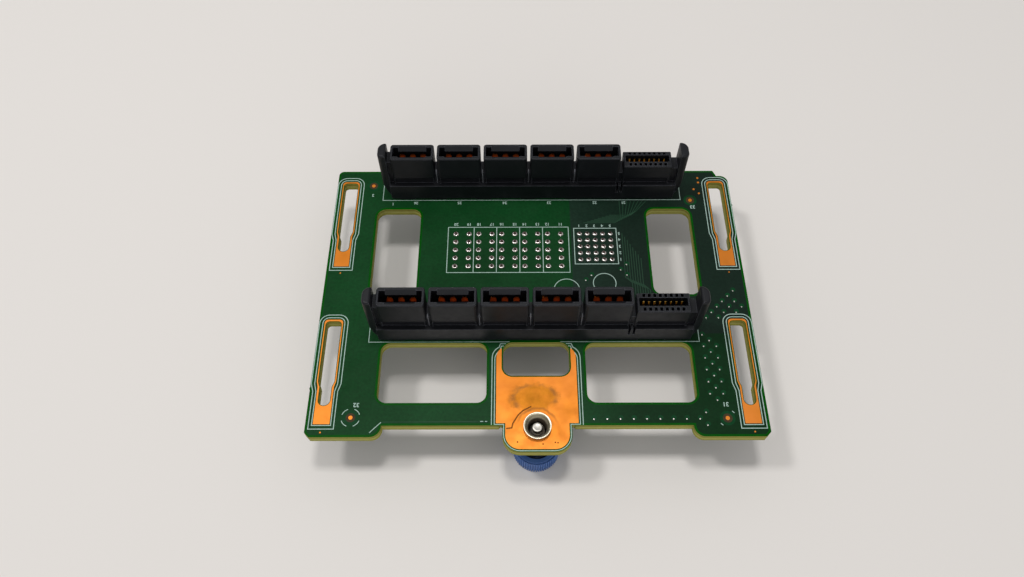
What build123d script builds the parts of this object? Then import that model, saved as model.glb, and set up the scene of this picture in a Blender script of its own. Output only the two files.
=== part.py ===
from build123d import *
import os

# A power supply backplane: a green board that stands on its link connector and a captive thumbscrew.
# Two card-edge sockets on top take the edges of two power supplies.
# Millimetres. X runs along the sockets, +Y is the rear, the feet of the connector are at Z = 0.

# Board
board_length = 105.6
board_depth = 76.2
board_t = 2.4
rear_left_round = 1.3
front_chamfer = 1.1
foot_reach = 2.7            # how far the two front feet reach past the front edge
foot_inner_x = 35.5         # half the width of the step between the feet
foot_round = 2.5
notch_width = 2.9           # the step in the rear right corner
notch_depth = 1.8
notch_slant = 0.8
notch_round = 2.0
nub_r = 0.4                 # break-off nubs on the two sides
nub_proud = 0.15
left_nub_y = -26.2
right_nub_y = 26.5

# Tab with the captive screw
tab_reach = 3.5             # past the feet
tab_width = 15.8
tab_round = 4.0
tab_relief_r = 0.42
screw_from_tab_end = 5.7

# Windows
window_round = 2.3
rear_window_width = 11.6
rear_window_length = 26.3
rear_window_from_slot = 13.65   # from a slot's middle line to the middle of a rear window
rear_window_gap = 3.4       # from the rear socket's base to the windows
front_window_width = 25.4
front_window_length = 15.4
front_window_x = 24.4
front_window_gap = 0.72     # from the front socket's base to the windows
tab_window_width = 15.8
tab_window_length = 8.75
tab_window_gap = 0.58

# Keyhole slots beside the bays
bay_pitch = 42.42           # from one power supply to the next
slot_from_side = 3.65       # from the board's side to a slot's middle line
slot_top_y = 33.85          # of the rear pair
slot_wide = 3.7
slot_narrow = 2.7
slot_wide_length = 15.85
slot_taper = 1.4
slot_length = 21.85
slot_corner = 0.9

# Copper lands on the board
land_t = 0.05
land_pullback = 0.15        # from the edge of a hole
tab_land_pullback = 0.3     # from the tab's window
slot_land_rim = 0.4         # beside the wide part of a slot
slot_land_narrow_rim = 0.55
slot_land_top = 0.6
slot_land_tail = 4.6        # below the slot's round end
tab_land_width = 18.86
tab_land_round = 2.9
tab_land_inset = 0.62       # from the edge of the tab
tab_land_step = 0.55        # above the board's front edge
tab_land_horn = 7.75        # how far the horns run up beside the tab's window

# Card-edge sockets
socket_x = -0.3
rear_socket_y = 32.14       # centre line of the rear socket's slots, from the board's centre
base_length = 74.8
base_depth = 6.9
base_h = 5.5
standoff_h = 0.35
standoff_width = 4.0
block_count = 5
block_width = 11.07
block_pitch = 11.9
block_depth = 5.07
block_h = 15.2
block_round = 0.75
signal_round = 0.25
rim_bevel = 0.22
first_block_x = -30.82
block_end_wall = 0.55
block_side_wall = 1.0
lead_in_width = 7.1
lead_in_drop = 0.9
lead_in_land = 0.6
lead_in_lip = 0.3
card_slot = 1.9
floor_t = 1.2
foot_groove_h = 2.3
foot_groove_depth = 0.4
foot_groove_inset = 0.5
web_depth = 3.9
web_h = 9.1
signal_x = 29.5
signal_width = 12.4
signal_h = 12.2
signal_slot_y = 0.15
signal_slot = 2.2
signal_end_wall = 0.55
signal_pocket = 0.75
signal_pocket_length = 0.95
signal_pocket_depth = 1.6
ear_t = 2.05
ear_overlap = 0.1           # how far an ear sinks into the base's end
ear_depth = 4.7
ear_y = -0.39
ear_h = 16.5
ear_round = 1.9             # at the outer rear corner
ear_front_round = 1.3
ear_top_round = 0.6
ear_foot_inset = 2.15
ear_foot_h = 5.2
left_shoulder_h = 13.2
right_shoulder_h = 10.7
shoulder_depth = 3.6
key_notch_depth = 1.4
key_notch_h = 2.8
key_notch_width = 0.6
key_rib = 0.5
cut_past = 1.0              # how far a cut runs on past the surface

# Socket contacts
beam_count = 3
beam_pitch = 2.67
beam_width = 1.5
beam_t = 0.3
beam_wall_gap = 0.1         # between a contact and the housing
beam_reach = 0.78           # how far a beam leans in over the slot
beam_tip_gap = 2.1          # from a tip to the top of its block
beam_root_h = 3.0           # the straight foot of a beam above its strip
beam_touch_drop = 1.4       # from a tip down to where the beam touches the card
beam_touch_h = 1.0
beam_touch_depth = 0.08     # how far the touching bend stands out of the beam
beam_tip_back = 0.55        # how far a tip leans back from the card
beam_tip_round = 0.55
contact_floor_gap = 0.3
contact_strip_h = 2.0
tail_width = 0.7
tail_proud = 1.3            # below the board
tail_gap = 0.1
power_hole_r = 0.5
signal_count = 8
signal_pitch = 1.27
signal_contact_width = 0.42
signal_contact_t = 0.2
signal_reach = 0.55
signal_tip_gap = 1.0
signal_touch_drop = 0.6
signal_tip_back = 0.28
signal_root_h = 4.0         # the straight foot of a signal beam
signal_hole_r = 0.3

# Link connector under the board
link_h = 12.35
link_width = 44.9
link_depth = 15.1
link_x = -0.42
link_y = 12.4
link_bevel = 0.8
link_floor_t = 1.2
link_block_count = 5
link_block_pitch = 5.95
link_first_block_x = -18.56
link_cavity_width = 4.2
link_cavity_depth = 12.2
link_row_gap = 3.4          # between the two rows of tails of a block
link_blade_t = 0.6
link_blade_depth = 10.9
link_blade_recess = 0.8     # from the mating face
link_tail = 0.6
link_tail_root = 1.0        # how far a tail runs down into its blade
link_tail_count = 5
link_tail_pitch = 2.49
link_tail_y = 12.33
link_tail_proud = 0.55      # above the board
link_hole_r = 0.5
link_signal_x = 15.86
link_signal_y = 13.32
link_signal_count = 5
link_signal_pitch = 2.0
link_signal_cavity = 9.8
link_pin = 0.5
link_pin_recess = 1.5
link_pin_hole_r = 0.42

# Captive screw
ferrule_rim_r = 3.2
ferrule_rim_h = 1.5
ferrule_rim_lip = 0.25
ferrule_body_r = 2.7
ferrule_seat_gap = 0.02
ferrule_bore_r = 2.15
ferrule_cone_h = 1.0
ferrule_flange_r = 4.3
ferrule_flange_t = 2.55
ferrule_barrel_r = 3.0
ferrule_barrel_h = 2.3
ferrule_lip_h = 0.8
screw_running_gap = 0.1
screw_neck_r = 1.25
screw_thread_r = 1.75
screw_tip_r = 1.15
screw_tip_proud = 0.3       # above the board
screw_tip_length = 1.3
screw_thread_bevel = 0.4
screw_travel = 4.0
knob_stop_gap = 0.65        # left below the flange when the knob is pushed in
screw_root_r = 2.0
screw_root_h = 1.6
screw_seat_gap = 0.02       # between the screw and the knob that grips it
spring_wire_r = 0.22
spring_r = 3.45
spring_turns = 4.5
spring_seat_gap = 0.05
knob_r = 5.45
knob_rib_r = 0.15
knob_rib_count = 60
knob_floor_t = 2.4
knob_bore_r = 4.0
knob_groove_r = 5.34
knob_groove_width = 0.2
knob_groove_depth = 0.4
knob_bevel = 0.08

os.makedirs("parts", exist_ok=True)

# Places worked out from the sizes
front_edge_y = -board_depth / 2 + foot_reach
tab_end_y = -board_depth / 2 - tab_reach
screw_y = tab_end_y + screw_from_tab_end
front_reach = max(-tab_end_y, knob_r + knob_rib_r - screw_y)
board_mid_y = (front_reach - board_depth / 2) / 2
board_top_z = link_h + board_t
board_under = Plane(origin=(0, board_mid_y, link_h))
board_top = Plane(origin=(0, board_mid_y, board_top_z))
socket_ys = {"rear": rear_socket_y, "front": rear_socket_y - bay_pitch}
slot_x = board_length / 2 - slot_from_side
rear_window_x = slot_x - rear_window_from_slot
slot_ys = [slot_top_y, slot_top_y - bay_pitch]
slot_places = [(side * slot_x, y) for side in (-1, 1) for y in slot_ys]
rear_window_y = rear_socket_y - base_depth / 2 - rear_window_gap - rear_window_length / 2
front_base_y = socket_ys["front"] - base_depth / 2
front_window_y = front_base_y - front_window_gap - front_window_length / 2
tab_window_y = front_base_y - tab_window_gap - tab_window_length / 2
block_xs = [first_block_x + i * block_pitch for i in range(block_count)]
beam_xs = [(i - (beam_count - 1) / 2) * beam_pitch for i in range(beam_count)]
signal_xs = [signal_x + (i - (signal_count - 1) / 2) * signal_pitch for i in range(signal_count)]
beam_y = block_depth / 2 - block_side_wall - beam_wall_gap - beam_t
signal_y = signal_slot / 2 - beam_wall_gap - signal_contact_t
link_block_xs = [link_first_block_x + i * link_block_pitch for i in range(link_block_count)]
link_tail_ys = [link_tail_y + (i - (link_tail_count - 1) / 2) * link_tail_pitch for i in range(link_tail_count)]
link_pin_places = [
    (link_signal_x + (i - (link_signal_count - 1) / 2) * link_signal_pitch,
     link_signal_y + (j - (link_signal_count - 1) / 2) * link_signal_pitch)
    for i in range(link_signal_count) for j in range(link_signal_count)
]


def keyhole(wide, narrow, top, shoulder, taper, length, corner):
    """Outline of a keyhole slot, top at Y = top, wide part above, round end below."""
    end_r = narrow / 2
    with BuildSketch() as outline:
        with BuildLine():
            Polyline(
                (-wide / 2, top - shoulder), (-wide / 2, top), (wide / 2, top), (wide / 2, top - shoulder),
                (end_r, top - shoulder - taper), (end_r, top - length + end_r),
            )
            Line((-end_r, top - length + end_r), (-end_r, top - shoulder - taper))
            Line((-end_r, top - shoulder - taper), (-wide / 2, top - shoulder))
            RadiusArc((end_r, top - length + end_r), (-end_r, top - length + end_r), end_r)
        make_face()
        fillet(outline.vertices().group_by(Axis.Y)[-1], corner)
    return outline.sketch


def socket_tail_places(y):
    """Centres of a socket's power and signal tails on the board."""
    power = [(socket_x + bx + px, y + side * (beam_y + beam_t / 2))
             for bx in block_xs for px in beam_xs for side in (-1, 1)]
    signal = [(socket_x + sx, y + signal_slot_y + side * (signal_y + signal_contact_t / 2))
              for sx in signal_xs for side in (-1, 1)]
    return power, signal


# Circuit board: one plate with its windows, keyhole slots and plated holes
slot_outline = keyhole(slot_wide, slot_narrow, 0, slot_wide_length, slot_taper, slot_length, slot_corner)
link_tail_places = [(bx + side * link_row_gap / 2, y)
                    for bx in link_block_xs for side in (-1, 1) for y in link_tail_ys]
with BuildPart() as circuit_board:
    with BuildSketch(board_under) as board_outline:
        Rectangle(board_length, board_depth)
        with Locations((0, -board_depth / 2 + foot_reach / 2)):
            Rectangle(2 * foot_inner_x, foot_reach, mode=Mode.SUBTRACT)
        front_corners = board_outline.vertices().group_by(Axis.Y)[0].sort_by(Axis.X)
        chamfer([front_corners[0], front_corners[-1]], front_chamfer)
        inner_feet = board_outline.vertices().group_by(Axis.Y)[0].sort_by(Axis.X)[1:-1]
        fillet(inner_feet, foot_round)
        fillet(board_outline.vertices().group_by(Axis.Y)[-1].sort_by(Axis.X)[0], rear_left_round)
        with BuildLine():
            Polyline(
                (board_length / 2, board_depth / 2),
                (board_length / 2 - notch_width - notch_slant, board_depth / 2),
                (board_length / 2 - notch_width, board_depth / 2 - notch_depth),
                (board_length / 2, board_depth / 2 - notch_depth),
                close=True,
            )
        make_face(mode=Mode.SUBTRACT)
        fillet(board_outline.vertices().group_by(Axis.X)[-1].sort_by(Axis.Y)[-1], notch_round)
        with Locations((0, (front_edge_y + tab_end_y) / 2)):
            Rectangle(tab_width, front_edge_y - tab_end_y)
        fillet(board_outline.vertices().group_by(Axis.Y)[0], tab_round)
        with Locations(*[(side * (tab_width / 2 + tab_relief_r), front_edge_y) for side in (-1, 1)]):
            Circle(tab_relief_r, mode=Mode.SUBTRACT)
        with Locations((-board_length / 2 + nub_r - nub_proud, left_nub_y),
                       (board_length / 2 - nub_r + nub_proud, right_nub_y)):
            Circle(nub_r)
        with Locations(*[(side * rear_window_x, rear_window_y) for side in (-1, 1)]):
            RectangleRounded(rear_window_width, rear_window_length, window_round, mode=Mode.SUBTRACT)
        with Locations(*[(side * front_window_x, front_window_y) for side in (-1, 1)]):
            RectangleRounded(front_window_width, front_window_length, window_round, mode=Mode.SUBTRACT)
        with Locations((0, tab_window_y)):
            RectangleRounded(tab_window_width, tab_window_length, window_round, mode=Mode.SUBTRACT)
        with Locations(*slot_places):
            add(slot_outline, mode=Mode.SUBTRACT)
        with Locations((0, screw_y)):
            Circle(ferrule_body_r + ferrule_seat_gap, mode=Mode.SUBTRACT)
        for socket_y in socket_ys.values():
            power_places, signal_places = socket_tail_places(socket_y)
            with Locations(*power_places):
                Circle(power_hole_r, mode=Mode.SUBTRACT)
            with Locations(*signal_places):
                Circle(signal_hole_r, mode=Mode.SUBTRACT)
        with Locations(*link_tail_places):
            Circle(link_hole_r, mode=Mode.SUBTRACT)
        with Locations(*link_pin_places):
            Circle(link_pin_hole_r, mode=Mode.SUBTRACT)
    extrude(amount=board_t)
circuit_board.part.label = "circuit_board"
export_step(circuit_board.part, "parts/circuit_board.step")

# Copper lands round the four keyhole slots
slot_land = keyhole(
    slot_wide + 2 * slot_land_rim, slot_narrow + 2 * slot_land_narrow_rim, slot_land_top,
    slot_wide_length + slot_land_top, slot_taper, slot_length + slot_land_top, slot_corner,
)
slot_land_end_y = -slot_length - slot_land_tail
slot_clear = offset(slot_outline, amount=land_pullback)
with BuildPart() as slot_pads:
    with BuildSketch(board_top):
        with Locations(*slot_places):
            add(slot_land)
        with Locations(*[(x, y + (slot_land_end_y - slot_length) / 2) for x, y in slot_places]):
            Rectangle(slot_narrow + 2 * slot_land_narrow_rim, slot_land_tail + slot_narrow)
        with Locations(*slot_places):
            add(slot_clear, mode=Mode.SUBTRACT)
    extrude(amount=land_t)
slot_pads.part.label = "slot_pads"
export_step(slot_pads.part, "parts/slot_pads.step")

# Copper land round the captive screw, with two horns beside the window
tab_land_top_y = tab_window_y - tab_window_length / 2 + tab_land_horn
tab_land_step_y = front_edge_y + tab_land_step
tab_land_narrow = tab_width - 2 * tab_land_inset
with BuildPart() as tab_pad:
    with BuildSketch(board_top) as tab_land:
        with Locations((0, (tab_land_top_y + tab_land_step_y) / 2)):
            Rectangle(tab_land_width, tab_land_top_y - tab_land_step_y)
        fillet(tab_land.vertices().group_by(Axis.Y)[-1], tab_land_round)
        with Locations((0, (tab_end_y + tab_land_inset + tab_land_step_y) / 2)):
            Rectangle(tab_land_narrow, tab_land_step_y - tab_end_y - tab_land_inset)
        fillet(tab_land.vertices().group_by(Axis.Y)[0], tab_round - tab_land_inset)
        with Locations((0, tab_window_y + board_depth / 2)):
            Rectangle(tab_window_width + 2 * tab_land_pullback, board_depth, mode=Mode.SUBTRACT)
        with Locations((0, tab_window_y)):
            RectangleRounded(tab_window_width + 2 * tab_land_pullback, tab_window_length + 2 * tab_land_pullback,
                             window_round + tab_land_pullback, mode=Mode.SUBTRACT)
        with Locations((0, screw_y)):
            Circle(ferrule_rim_r + land_pullback, mode=Mode.SUBTRACT)
    extrude(amount=land_t)
tab_pad.part.label = "tab_pad"
export_step(tab_pad.part, "parts/tab_pad.step")


def socket_housing():
    """Moulded socket: a base, five power blocks, one signal block and two guide ears.

    The board's top is at Z = 0, and the middle of the slots at the origin.
    """
    block_top = Plane.XY.offset(block_h - rim_bevel)
    signal_top = Plane.XY.offset(signal_h - rim_bevel)
    gap_xs = [x + block_pitch / 2 for x in block_xs[:-1]]
    last_block_edge = block_xs[-1] + block_width / 2
    key_x = (last_block_edge + signal_x - signal_width / 2) / 2
    key_width = signal_x - signal_width / 2 - last_block_edge
    ear_inner_x = base_length / 2 - ear_overlap
    ear_x = ear_inner_x + ear_t / 2
    with BuildPart() as housing:
        # base on its standoffs
        with BuildSketch(Plane.XY.offset(standoff_h)):
            Rectangle(base_length, base_depth)
        extrude(amount=base_h - standoff_h)
        end_standoff_x = (base_length - standoff_width) / 2 - ear_foot_inset
        with BuildSketch():
            with Locations(*[(x, 0) for x in gap_xs + [key_x, -end_standoff_x, end_standoff_x]]):
                Rectangle(standoff_width, base_depth)
        extrude(amount=standoff_h)
        # power blocks, their upper edges bevelled
        with BuildSketch(Plane.XY.offset(base_h)):
            with Locations(*[(x, 0) for x in block_xs]):
                RectangleRounded(block_width, block_depth, block_round)
        extrude(amount=block_h - rim_bevel - base_h)
        with BuildSketch(block_top):
            with Locations(*[(x, 0) for x in block_xs]):
                RectangleRounded(block_width, block_depth, block_round)
        extrude(amount=rim_bevel, taper=45)
        # signal block
        with BuildSketch(Plane.XY.offset(base_h)):
            with Locations((signal_x, 0)):
                RectangleRounded(signal_width, block_depth, signal_round)
        extrude(amount=signal_h - rim_bevel - base_h)
        with BuildSketch(signal_top):
            with Locations((signal_x, 0)):
                RectangleRounded(signal_width, block_depth, signal_round)
        extrude(amount=rim_bevel, taper=45)
        # webs in the gaps between the blocks
        with BuildSketch(Plane.XY.offset(base_h)):
            with Locations(*[(x, 0) for x in gap_xs + [key_x]]):
                Rectangle(key_width, web_depth)
        extrude(amount=web_h - base_h)
        # guide ears, round at the outer corners and over the top
        for side in (-1, 1):
            with BuildPart(mode=Mode.PRIVATE) as ear:
                with BuildSketch(Plane.XY.offset(standoff_h)) as ear_outline:
                    with Locations((side * ear_x, ear_y)):
                        Rectangle(ear_t, ear_depth)
                    outer = ear_outline.vertices().group_by(Axis.X)[0 if side < 0 else -1].sort_by(Axis.Y)
                    fillet(outer[-1], ear_round)
                    outer = ear_outline.vertices().group_by(Axis.Y)[0].sort_by(Axis.X)[0 if side < 0 else -1]
                    fillet(outer, ear_front_round)
                extrude(amount=ear_h - standoff_h)
                fillet(ear.faces().sort_by(Axis.Z)[-1].edges(), ear_top_round)
            add(ear.part)
        # low shoulders between the ears and the blocks
        left_edge = block_xs[0] - block_width / 2
        with BuildSketch(Plane.XY.offset(base_h)):
            with Locations(((left_edge - ear_inner_x) / 2, 0)):
                Rectangle(left_edge + ear_inner_x + 2 * block_round, shoulder_depth)
        extrude(amount=left_shoulder_h - base_h)
        right_edge = signal_x + signal_width / 2
        with BuildSketch(Plane.XY.offset(base_h)):
            with Locations(((right_edge + ear_inner_x) / 2, 0)):
                Rectangle(ear_inner_x - right_edge + 2 * signal_round, shoulder_depth)
        extrude(amount=right_shoulder_h - base_h)
        # the ears taper in to the base below
        with BuildSketch(Plane.XZ):
            for side in (-1, 1):
                outer_x = side * (ear_x + ear_t / 2)
                with BuildLine():
                    Polyline(
                        (outer_x - side * ear_foot_inset, 0), (outer_x, ear_foot_h),
                        (outer_x + side * cut_past, ear_foot_h), (outer_x + side * cut_past, 0), close=True,
                    )
                make_face()
        extrude(amount=base_depth, both=True, mode=Mode.SUBTRACT)
        # grooves along the feet of the blocks
        face_y = block_depth / 2
        for x, width in [(bx, block_width) for bx in block_xs] + [(signal_x, signal_width)]:
            with BuildSketch(Plane.YZ.offset(x)):
                for side in (-1, 1):
                    with BuildLine():
                        Polyline(
                            (side * (face_y + cut_past), base_h), (side * (face_y - foot_groove_depth), base_h),
                            (side * (face_y - foot_groove_depth), base_h + foot_groove_h / 2),
                            (side * face_y, base_h + foot_groove_h),
                            (side * (face_y + cut_past), base_h + foot_groove_h), close=True,
                        )
                    make_face()
            extrude(amount=width / 2 - foot_groove_inset, both=True, mode=Mode.SUBTRACT)
        # key notches and rib between the last power block and the signal block
        with BuildSketch(Plane.XY.offset(key_notch_h)):
            for side in (-1, 1):
                with Locations((key_x + side * (key_rib + key_notch_width) / 2,
                                -base_depth / 2 + key_notch_depth / 2)):
                    Rectangle(key_notch_width, key_notch_depth)
        extrude(amount=base_h - key_notch_h, mode=Mode.SUBTRACT)
        # power cavities, with a lead-in over the contacts of each side
        with BuildSketch(Plane.XY.offset(floor_t)):
            with Locations(*[(x, 0) for x in block_xs]):
                Rectangle(block_width - 2 * block_end_wall, block_depth - 2 * block_side_wall)
        extrude(amount=block_h - floor_t, mode=Mode.SUBTRACT)
        lip_z = block_h - lead_in_drop - lead_in_lip
        wall_y = block_depth / 2 - block_side_wall
        for x in block_xs:
            with BuildSketch(Plane.YZ.offset(x)):
                for side in (-1, 1):
                    with BuildLine():
                        Polyline(
                            (side * card_slot / 2, lip_z), (side * card_slot / 2, block_h - lead_in_drop),
                            (side * (face_y - lead_in_land), block_h),
                            (side * (face_y - lead_in_land), lip_z), close=True,
                        )
                    make_face()
            extrude(amount=lead_in_width / 2, both=True)
            with BuildSketch(Plane.YZ.offset(x)):
                for side in (-1, 1):
                    with BuildLine():
                        Polyline(
                            (side * card_slot / 2, block_h - lead_in_drop),
                            (side * (face_y - lead_in_land), block_h),
                            (side * card_slot / 2, block_h), close=True,
                        )
                    make_face()
            extrude(amount=lead_in_width / 2, both=True, mode=Mode.SUBTRACT)
        # signal slot and the pockets in its two rims
        with BuildSketch(Plane.XY.offset(floor_t)):
            with Locations((signal_x, signal_slot_y)):
                Rectangle(signal_width - 2 * signal_end_wall, signal_slot)
        extrude(amount=signal_h - floor_t, mode=Mode.SUBTRACT)
        front_rim_y = -(face_y + signal_slot / 2 - signal_slot_y) / 2
        rear_rim_y = (face_y + signal_slot / 2 + signal_slot_y) / 2
        with BuildSketch(Plane.XY.offset(signal_h - signal_pocket_depth)):
            with Locations(*[(x, y) for x in signal_xs for y in (front_rim_y, rear_rim_y)]):
                Rectangle(signal_pocket, signal_pocket_length)
        extrude(amount=signal_pocket_depth, mode=Mode.SUBTRACT)
        # passages for the tails through the floor
        tail_y = beam_y + beam_t / 2
        signal_tail_y = signal_y + signal_contact_t / 2
        with BuildSketch():
            with Locations(*[(bx + px, side * tail_y) for bx in block_xs for px in beam_xs for side in (-1, 1)]):
                Rectangle(tail_width + 2 * tail_gap, beam_t + 2 * tail_gap)
            with Locations(*[(sx, signal_slot_y + side * signal_tail_y) for sx in signal_xs for side in (-1, 1)]):
                Rectangle(signal_contact_width + 2 * tail_gap, signal_contact_t + 2 * tail_gap)
        extrude(amount=floor_t, mode=Mode.SUBTRACT)
    return housing.part


def power_contact(side):
    """One stamped power contact: a strip with three beams above and three tails below."""
    strip_z = floor_t + contact_floor_gap
    knee_z = strip_z + contact_strip_h + beam_root_h
    tip_z = block_h - beam_tip_gap
    touch_z = tip_z - beam_touch_drop
    touch_y = beam_y - beam_reach
    bend_y = touch_y + beam_touch_depth
    inner = [(beam_y, strip_z), (beam_y, knee_z), (bend_y, touch_z - beam_touch_h / 2)]
    arc_end = (bend_y, touch_z + beam_touch_h / 2)
    tip = (touch_y + beam_tip_back, tip_z)
    with BuildPart() as contact:
        with BuildSketch(Plane.XY.offset(strip_z)):
            with Locations((0, side * (beam_y + beam_t / 2))):
                Rectangle((beam_count - 1) * beam_pitch + beam_width, beam_t)
        extrude(amount=contact_strip_h)
        for x in beam_xs:
            with BuildSketch(Plane.YZ.offset(x)):
                with BuildLine():
                    shape = [(side * y, z) for y, z in inner]
                    back = [(side * (y + beam_t), z) for y, z in inner]
                    Polyline(*shape)
                    ThreePointArc(shape[-1], (side * touch_y, touch_z), (side * arc_end[0], arc_end[1]))
                    Polyline((side * arc_end[0], arc_end[1]), (side * tip[0], tip[1]),
                             (side * (tip[0] + beam_t), tip[1]), (side * (arc_end[0] + beam_t), arc_end[1]))
                    ThreePointArc((side * (arc_end[0] + beam_t), arc_end[1]),
                                  (side * (touch_y + beam_t), touch_z), back[-1])
                    Polyline(back[2], back[1], back[0], shape[0])
                make_face()
            extrude(amount=beam_width / 2, both=True)
        # the strip and its beams seen from the front, with round tips
        with BuildSketch(Plane.XZ) as outline:
            with Locations((0, strip_z + contact_strip_h / 2)):
                Rectangle((beam_count - 1) * beam_pitch + beam_width, contact_strip_h)
            with Locations(*[(x, (strip_z + tip_z) / 2) for x in beam_xs]):
                Rectangle(beam_width, tip_z - strip_z)
            fillet(outline.vertices().group_by(Axis.Z)[-1], beam_tip_round)
        extrude(amount=block_depth, both=True, mode=Mode.INTERSECT)
        with BuildSketch(Plane.XY.offset(-board_t - tail_proud)):
            with Locations(*[(x, side * (beam_y + beam_t / 2)) for x in beam_xs]):
                Rectangle(tail_width, beam_t)
        extrude(amount=board_t + tail_proud + strip_z + contact_strip_h / 2)
    return contact.part


def signal_contact(side):
    """One signal contact: a single thin beam with a tail."""
    strip_z = floor_t + contact_floor_gap
    tip_z = signal_h - signal_tip_gap
    touch_z = tip_z - signal_touch_drop
    bottom_z = -board_t - tail_proud
    bend_z = strip_z + signal_root_h
    inner = [(signal_y, bottom_z), (signal_y, bend_z), (signal_y - signal_reach, touch_z),
             (signal_y - signal_reach + signal_tip_back, tip_z)]
    outer = [(y + signal_contact_t, z) for y, z in reversed(inner)]
    with BuildPart() as contact:
        with BuildSketch(Plane(origin=(0, signal_slot_y, 0), x_dir=(0, 1, 0), z_dir=(1, 0, 0))):
            with BuildLine():
                Polyline(*[(side * y, z) for y, z in inner + outer], close=True)
            make_face()
        extrude(amount=signal_contact_width / 2, both=True)
    return contact.part


# The two sockets are alike, one bay apart
housing_form = socket_housing()
for place, socket_y in socket_ys.items():
    seat = Location((socket_x, board_mid_y + socket_y, board_top_z))
    with BuildPart() as housing:
        with Locations(seat):
            add(housing_form)
    housing.part.label = f"{place}_socket_housing"
    export_step(housing.part, f"parts/{place}_socket_housing.step")
    for row, side in (("front", -1), ("back", 1)):
        with BuildPart() as power_row:
            with Locations(*[seat * Location((x, 0, 0)) for x in block_xs]):
                add(power_contact(side))
        power_row.part.label = f"{place}_socket_power_contacts_{row}"
        export_step(power_row.part, f"parts/{place}_socket_power_contacts_{row}.step")
        with BuildPart() as signal_row:
            with Locations(*[seat * Location((x, 0, 0)) for x in signal_xs]):
                add(signal_contact(side))
        signal_row.part.label = f"{place}_socket_signal_contacts_{row}"
        export_step(signal_row.part, f"parts/{place}_socket_signal_contacts_{row}.step")

# Link connector: a housing under the board with open cavities in its mating face
with BuildPart() as link_housing:
    with BuildSketch(Plane(origin=(0, board_mid_y, 0))) as link_outline:
        with Locations((link_x, link_y)):
            Rectangle(link_width, link_depth)
        chamfer(link_outline.vertices(), link_bevel)
    extrude(amount=link_h)
    with BuildSketch(Plane(origin=(0, board_mid_y, 0))):
        with Locations(*[(x, link_tail_y) for x in link_block_xs]):
            RectangleRounded(link_cavity_width, link_cavity_depth, link_bevel / 2)
        with Locations((link_signal_x, link_signal_y)):
            RectangleRounded(link_signal_cavity, link_signal_cavity, link_bevel / 2)
    extrude(amount=link_h - link_floor_t, mode=Mode.SUBTRACT)
    with BuildSketch(Plane(origin=(0, board_mid_y, 0))):
        with Locations(*link_tail_places):
            Rectangle(link_tail + 2 * tail_gap, link_tail + 2 * tail_gap)
        with Locations(*link_pin_places):
            Rectangle(link_pin + 2 * tail_gap, link_pin + 2 * tail_gap)
    extrude(amount=link_h, mode=Mode.SUBTRACT)
link_housing.part.label = "link_housing"
export_step(link_housing.part, "parts/link_housing.step")

# Power blades of the link connector, each with a row of five tails up through the board
for row, side in (("left", -1), ("right", 1)):
    with BuildPart() as blades:
        with BuildSketch(Plane(origin=(0, board_mid_y, link_blade_recess))):
            with Locations(*[(x + side * link_row_gap / 2, link_tail_y) for x in link_block_xs]):
                Rectangle(link_blade_t, link_blade_depth)
        extrude(amount=link_h - link_floor_t - link_blade_recess - tail_gap)
        with BuildSketch(Plane(origin=(0, board_mid_y, link_h - link_floor_t - link_tail_root))):
            with Locations(*[(x + side * link_row_gap / 2, y) for x in link_block_xs for y in link_tail_ys]):
                Rectangle(link_tail, link_tail)
        extrude(amount=link_floor_t + link_tail_root + board_t + link_tail_proud)
    blades.part.label = f"link_power_contacts_{row}"
    export_step(blades.part, f"parts/link_power_contacts_{row}.step")

# Signal pins of the link connector
with BuildPart() as link_signal_pins:
    with BuildSketch(Plane(origin=(0, board_mid_y, link_pin_recess))):
        with Locations(*link_pin_places):
            Rectangle(link_pin, link_pin)
    extrude(amount=link_h - link_pin_recess + board_t + link_tail_proud)
link_signal_pins.part.label = "link_signal_pins"
export_step(link_signal_pins.part, "parts/link_signal_pins.step")

# Captive screw: heights are measured up from the resting plane
axis_plane = Plane(origin=(0, board_mid_y + screw_y, 0), x_dir=(1, 0, 0), z_dir=(0, -1, 0))
axis_line = Axis((0, board_mid_y + screw_y, 0), (0, 0, 1))
flange_z = link_h - ferrule_flange_t
barrel_z = flange_z - ferrule_barrel_h
lip_z = barrel_z + ferrule_lip_h
rim_z = board_top_z + ferrule_rim_h
neck_bore_r = screw_neck_r + screw_running_gap
knob_h = flange_z - screw_travel - knob_stop_gap

# Ferrule: flared over the tab, with a flange below and a lip that holds the screw
with BuildPart() as screw_ferrule:
    with BuildSketch(axis_plane):
        with BuildLine():
            Polyline(
                (neck_bore_r, barrel_z), (ferrule_barrel_r, barrel_z), (ferrule_barrel_r, flange_z),
                (ferrule_flange_r, flange_z), (ferrule_flange_r, link_h), (ferrule_body_r, link_h),
                (ferrule_body_r, board_top_z), (ferrule_rim_r, board_top_z), (ferrule_rim_r, rim_z),
                (ferrule_rim_r - ferrule_rim_lip, rim_z), (ferrule_bore_r, rim_z - ferrule_cone_h),
                (ferrule_bore_r, lip_z), (neck_bore_r, lip_z), close=True,
            )
        make_face()
    revolve(axis=axis_line)
screw_ferrule.part.label = "screw_ferrule"
export_step(screw_ferrule.part, "parts/screw_ferrule.step")

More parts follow.
